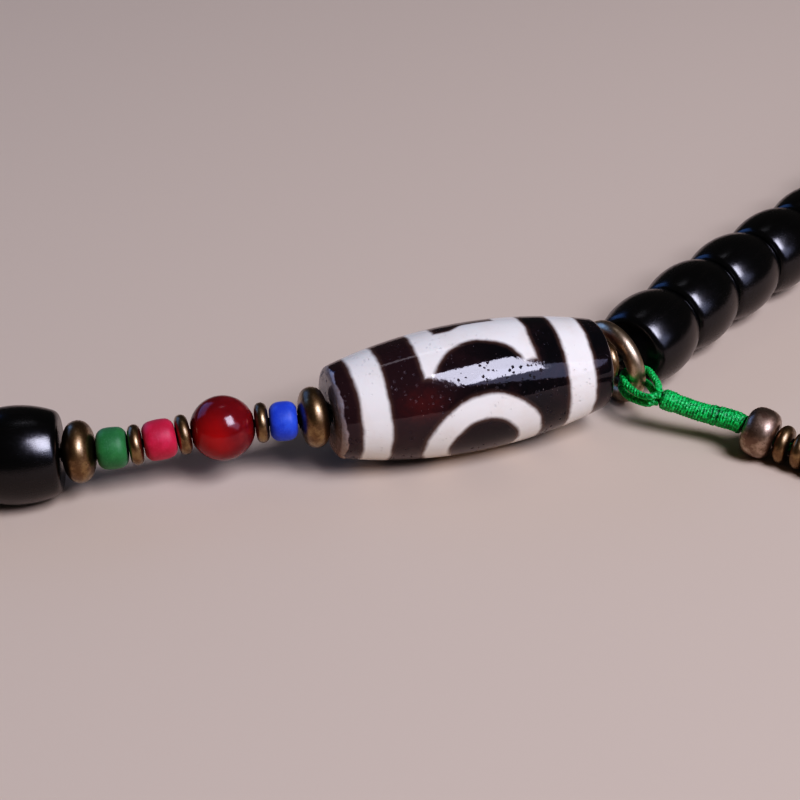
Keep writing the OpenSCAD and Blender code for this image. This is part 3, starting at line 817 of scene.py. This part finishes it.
# Polished stone: the pattern's colours, and a gloss that only the pits and a fine haze break
def patternedStone(pattern, colours, polish):
    bench = NodeBench("polishedPatternedStone")
    own = bench.attribute("own")
    pits, specks = pitsAndSpecks(bench, own)
    colour = stoneColour(bench, own, pattern, colours)
    colour = bench.blend(bench.times(pits, polish["pitShare"]), colour, colours["pit"])
    haze = bench.ease(bench.noise(own, 14, 2, 0.5), 0.5, 0.75, *polish["roughness"])
    bench.shade({
        "Base Color": bench.blend(bench.times(specks, polish["speckShare"]), colour, colours["speck"]),
        "Roughness": bench.plus(haze, bench.times(pits, polish["pitRoughness"])), "IOR": polish["ior"],
        "Subsurface Weight": polish["scatterShare"], "Subsurface Radius": polish["scatter"],
        "Subsurface Scale": mm})
    waves = bench.plus(bench.times(bench.noise(own, 0.9), 0.6), bench.times(bench.noise(own, 3.5), 0.25))
    bench.bump(bench.minus(waves, bench.times(pits, polish["pitDepth"])), 0.02, 0.8)
    return bench.material


stone = turned("patterned.stone", stoneSection(stonePlan), stonePlan["at"], stonePlan["heading"],
               stonePlan["rise"], stonePlan["around"])
finishPiece(stone, patternedStone(patternPlan, stoneColours, polishPlan), "patterned_stone", "dzi_bead")
print("patterned stone made")


# Thread that carries the loop

threadPlan = {"diameter": 0.9, "plies": 2, "lay": 1.5, "groove": 0.24, "step": 0.25, "around": 8,
              "bend": 12, "dark": (0.008, 0.006, 0.006), "light": (0.045, 0.034, 0.030),
              "roughness": 0.75, "sheen": 0.25}
throughRing = np.array([[21.05, 4.62, 6.27], [21.65, 6.2, 5.6], [22.7, 8, 5.05], [23.9, 9.9, 4.65]])


# Twisted cord: r = radius (1 - groove (1 - |cos(plies/2 (angle - 2 pi run / lay))|))
def twisted(plan, radius):
    def shape(run, angle):
        turn = plan["plies"] / 2 * (angle - 2 * np.pi * run / plan["lay"])
        return radius * (1 - plan["groove"] * (1 - np.abs(np.cos(turn))))
    return shape


# Dull dark thread, with fibres along it
def threadMaterial(plan):
    bench = NodeBench("darkThread")
    fibres = bench.noise(bench.attribute("own"), 9, 3, 0.6, (0.4, 1.6, 1.6))
    bench.shade({
        "Base Color": bench.blend(bench.ease(fibres, 0.35, 0.75), plan["dark"], plan["light"]),
        "Roughness": plan["roughness"], "Sheen Weight": plan["sheen"]})
    bench.bump(fibres, 0.03, 0.8)
    return bench.material


stoneHalf = stoneWay * stonePlan["length"] / 2
threadPoints = np.vstack([
    beadAt, [frontRow[node][:3] for node in frontRow],
    stonePlan["at"] - stoneHalf, stonePlan["at"], stonePlan["at"] + stoneHalf, endDiscAt, throughRing])
threadPath = throughPoints(threadPoints, threadPlan["bend"], True)
threadLoop = evenly(np.vstack([threadPath, threadPath[:1]]), threadPlan["step"])[:-1]
threadShape = twisted(threadPlan, threadPlan["diameter"] / 2)
places, own = cordAlong(threadLoop, threadShape, threadPlan["around"], True)
finishPiece(surface("main.thread", places, own), threadMaterial(threadPlan), "thread", "main_thread")


# Green cord: two strands round the ring, the wound shank, the string in the discs and its knot

cordPlan = {"diameter": 0.72, "plies": 3, "lay": 1.2, "groove": 0.22, "step": 0.03, "around": 30, "bend": 8,
            "spread": 0.38, "sideRun": 0.45, "gap": 0.03}
shankLine = np.array([
    [25.35, 1.3, 4], [27.15, 0.6, 3.65], [29, 0, 3.25], [31.05, -0.65, 3.05], [32.3, -1.2, 2.95]])
strandPoints = {
    "upper": [[24.2, 1.05, 4.27], [23.7, 1.6, 4.03], [23.2, 2.25, 3.92], [22.7, 2.95, 3.95],
              [22.25, 3.75, 4.05], [22.05, 4.6, 4.15], [22.2, 5.5, 4.15], [22.75, 6.2, 4.1],
              [23.55, 6.55, 4.05], [24.2, 6.3, 4.25], [24.65, 5.4, 4.55], [24.95, 4.4, 4.55],
              [25.2, 3.4, 4.5], [25.25, 2.5, 4.5]],
    "lower": [[24.2, 1.25, 3.4], [23.7, 1.85, 3.12], [23.15, 2.5, 2.97], [22.55, 3.3, 2.85],
              [22.1, 4.15, 2.95], [22, 5.05, 3.1], [22.35, 5.9, 3.15], [23.05, 6.5, 3.05],
              [23.75, 6.6, 2.9], [24.4, 5.95, 2.95], [24.7, 4.9, 3.2], [24.85, 3.8, 3.4],
              [25, 2.7, 3.55]],
}
shankWay = unit(shankLine[1] - shankLine[0])
shankSide, shankTop = sideAndTop(shankWay)

# Light is the green of the painted highlights, deep the green of the painted shade in the grooves
greenPlan = {"light": (0.010, 0.64, 0.13), "deep": (0.0004, 0.030, 0.007), "specksAndHighlights": 3.8,
             "crownHighlightShare": 0.42, "fibreShare": 0.18, "speckHighlightShare": 0.6, "roughness": (0.28, 0.48),
             "specularTint": (0.55, 1.0, 0.68), "sheenTint": (0.3, 1.0, 0.5), "sheenRoughness": 0.4,
             "depth": 0.035}


# Silky green thread, with painted highlights on its crowns and in small raised specks, and painted shade
# deep in its grooves.
# Crown is from and to in radius, and each swell from and to along the cord, then what it adds to that radius
# at both.
def greenThread(name, crown, fibreStretch, swells=(), sheen=0.08):
    plan = greenPlan
    bench = NodeBench(name)
    own = bench.attribute("own")
    s, y, z = bench.split(own)
    out = bench.reach(y, z)
    for swell in swells:
        out = bench.minus(out, bench.ease(s, *swell, "LINEAR"))
    # Painted highlight and shade: lighter on the crowns, darker in the grooves
    high = bench.ease(out, *crown)
    fibres = bench.noise(own, 7, 3, 0.6, fibreStretch)
    grain = bench.noise(own, 16, 3, 0.6)
    # Small specks, raised in the bump and lighter in colour as painted highlights
    specksAndHighlights = bench.ease(bench.noise(own, plan["specksAndHighlights"], 1), 0.40, 0.62)
    fibresAndPaintedLight = bench.plus(bench.times(high, plan["crownHighlightShare"]),
                       bench.ease(fibres, 0.3, 0.7, -plan["fibreShare"], plan["fibreShare"]))
    fibresAndPaintedLight = bench.maths("ADD", fibresAndPaintedLight, bench.times(specksAndHighlights, plan["speckHighlightShare"]), clamp=True)
    bench.shade({
        "Base Color": bench.blend(fibresAndPaintedLight, plan["deep"], plan["light"]),
        "Roughness": bench.ease(grain, 0.35, 0.7, *plan["roughness"]), "Specular IOR Level": 1.0,
        "Specular Tint": plan["specularTint"], "Sheen Weight": sheen,
        "Sheen Roughness": plan["sheenRoughness"], "Sheen Tint": plan["sheenTint"]})
    heights = bench.plus(fibres, bench.times(grain, 0.5))
    bench.bump(bench.plus(heights, bench.times(specksAndHighlights, 1.6)), plan["depth"], 0.9)
    return bench.material


strandGreen = greenThread("greenStrand", (0.23, 0.32), (1.0, 0.6, 0.6), sheen=0.4)
shankGreen = greenThread("greenWinding", (0.86, 0.95), (2.6, 0.45, 0.45),
                         ((1.25, 1.65, 0.095, 0), (4.9, 5.3, 0, 0.08)))
stringGreen = greenThread("greenString", (0.36, 0.45), (1.0, 0.6, 0.6))


# Where a strand leaves the joint: to the side and up or down by the spread, and back by a length
def strandEnd(side, top, back):
    spread = (shankSide * side + shankTop * top) * cordPlan["spread"]
    return shankLine[0] - shankWay * (back + cordPlan["gap"]) + spread


strandShape = twisted(cordPlan, cordPlan["diameter"] / 2)
for strand, top in (("upper", 1), ("lower", -1)):
    first, last = (strandEnd(side, top, cordPlan["sideRun"]) for side in (-1, 1))
    line = throughPoints(np.vstack([[first], strandPoints[strand], [last]]), cordPlan["bend"])
    line = evenly(np.vstack([[strandEnd(-1, top, 0)], line, [strandEnd(1, top, 0)]]), cordPlan["step"])
    places, own = cordAlong(line, strandShape, cordPlan["around"])
    piece = surface("counter.cord." + strand, places, own, False)
    finishPiece(piece, strandGreen, "green_cord", "counter_cord_" + strand)

# Swell is the share of the radius that the winding adds over the run. Clear is the way left to the barrel
# bead, and the shoulder turns the shank into the way of that bead's hole.
shankPlan = {"diameter": 1.89, "pitch": 0.29, "groove": 0.095, "step": 0.032, "around": 56, "bend": 24,
             "swellRun": (0, 1.25, 1.65, 4.9, 5.3), "swell": (0.10, 0.10, 0, 0, 0.085),
             "seamAt": 5.65, "seamWidth": 0.16, "seamDepth": 0.09, "startRound": 0.45, "endRound": 0.25,
             "turnStep": 0.016, "flat": 0.012, "clear": 0.06, "shoulder": 0.1}
windingJitter = rng.uniform(-1, 1, 64)


# Wound shank: r = radius (1 + flat cos(2 angle + run) + swell + small steps from turn to turn - seam
# - groove (1 - round ridge of each turn)) less the rounds at both ends
def windings(run, angle):
    plan = shankPlan
    turns = run / plan["pitch"] + angle / (2 * np.pi)
    whole = np.floor(turns)
    ridge = np.sqrt(np.clip(1 - (2 * (turns - whole) - 1) ** 2, 0, 1))
    step = windingJitter[whole.astype(int) % len(windingJitter)] * plan["turnStep"]
    swell = np.interp(run, plan["swellRun"], plan["swell"])
    seam = plan["seamDepth"] * np.exp(-((run - plan["seamAt"]) / plan["seamWidth"]) ** 2)
    rounds = 0
    for size, away in ((plan["startRound"], run), (plan["endRound"], run.max() - run)):
        rounds = rounds + size * (1 - np.sqrt(1 - np.clip(1 - away / size, 0, 1) ** 2))
    flat = 1 + plan["flat"] * np.cos(2 * angle + run)
    grooves = plan["groove"] * (1 - ridge)
    return plan["diameter"] / 2 * (flat + swell + step - seam - grooves) - rounds


barrelWay = wayOf(barrelPlan["heading"], barrelPlan["rise"])
barrelFace = barrelPlan["at"] - barrelWay * barrelPlan["length"] / 2
shankShoulder = barrelFace - barrelWay * (shankPlan["clear"] + shankPlan["shoulder"])
shankPath = throughPoints(np.vstack([shankLine, shankShoulder]), shankPlan["bend"])
places, own = cordAlong(evenly(shankPath, shankPlan["step"]), windings, shankPlan["around"])
finishPiece(surface("counter.shank", places, own, False), shankGreen, "green_cord", "counter_shank")

# String from the shank through the barrel bead and the discs, its knot, and the free tail after that
stringPlan = {"diameter": 0.9, "plies": 3, "lay": 1.1, "groove": 0.2, "step": 0.06, "around": 16,
              "bend": 10}
knotPlan = {"diameter": 2.4, "gap": 0.35, "tube": 0.42, "tubeRoom": 0.95, "long": 0.62, "wide": 0.30,
            "steps": 220, "around": 20}
tailPlan = {"thinner": 0.95, "out": 1.1, "drop": 0.9, "turnOut": 0.9, "turnDrop": 0.2, "step": 0.05,
            "bend": 12}


# A stretch of the twisted green string along a path
def addString(name, path, radius, around, closed=False):
    places, own = cordAlong(path, twisted(stringPlan, radius), around, closed)
    finishPiece(surface(name, places, own, closed), stringGreen, "green_cord")


# Overhand knot pulled tight: the closed trefoil x = sin t + 2 sin 2t, y = cos t - 2 cos 2t, z = -sin 3t
def knotLine(at, way, size):
    side, top = sideAndTop(way)
    t = (np.arange(knotPlan["steps"]) / knotPlan["steps"] * 2 * np.pi)[:, None]
    x = knotPlan["wide"] * (np.sin(t) + 2 * np.sin(2 * t))
    y = knotPlan["wide"] * (np.cos(t) - 2 * np.cos(2 * t))
    z = -knotPlan["long"] * np.sin(3 * t)
    return at + size * (z * way + x * side + y * top)


lastWay = wayOf(discRow["heading"] + discRow["turn"] * discRow["count"])
knotHalf = knotPlan["diameter"] / 2
knotAt = counterDiscAt[-1] + lastWay * (counterThickness / 2 + knotPlan["gap"] + knotHalf)
stringPoints = np.vstack([
    shankShoulder, barrelPlan["at"],
    barrelFace + barrelWay * barrelPlan["length"] - [0, 0, barrelPlan["stringDrop"]], counterDiscAt, knotAt])
stringLine = evenly(throughPoints(stringPoints, stringPlan["bend"]), stringPlan["step"])
addString("counter.string", stringLine, stringPlan["diameter"] / 2, stringPlan["around"])

knot = knotLine(knotAt, lastWay, knotHalf - knotPlan["tube"] * knotPlan["tubeRoom"])
addString("counter.knot", knot, knotPlan["tube"], knotPlan["around"], True)

tailPoints = np.vstack([
    knotAt, knotAt + lastWay * tailPlan["turnOut"] - [0, 0, tailPlan["turnDrop"]],
    knotAt + lastWay * (knotHalf + tailPlan["out"]) - [0, 0, tailPlan["drop"]]])
tailLine = evenly(throughPoints(tailPoints, tailPlan["bend"]), tailPlan["step"])
tailRadius = stringPlan["diameter"] / 2 * tailPlan["thinner"]
addString("counter.tail", tailLine, tailRadius, stringPlan["around"])
print("thread and green cord made")
